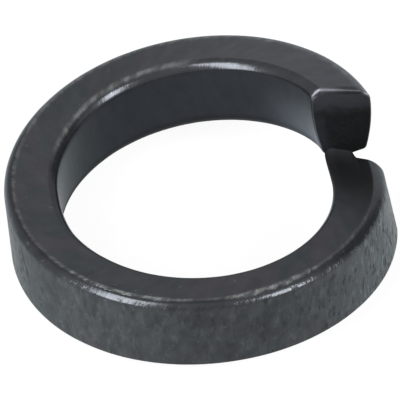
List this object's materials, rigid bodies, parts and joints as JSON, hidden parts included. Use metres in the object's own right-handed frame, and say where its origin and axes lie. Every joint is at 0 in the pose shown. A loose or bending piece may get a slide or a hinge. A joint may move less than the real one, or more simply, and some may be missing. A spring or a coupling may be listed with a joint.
{
  "type": "spring lock washer",
  "caption": "Split spring lock washer of tall, heavy section. Its sprung, sharply cut ends keep a screw or nut from working loose.",
  "frame": {"origin": "middle of the hole's axis, halfway in height between the high end and the low end of the coil", "axes": "+Z along the hole, upwards, with the coil falling counter-clockwise seen from above; +X from the axis out through the split"},
  "size_m": [0.022, 0.022, 0.0088],
  "materials": {
    "washer_steel": "spring steel, hardened, with a dark phosphate coat that is rubbed bright on the edges"
  },
  "bodies": {
    "root": {"washer": "washer_steel"}
  },
  "joints": []
}
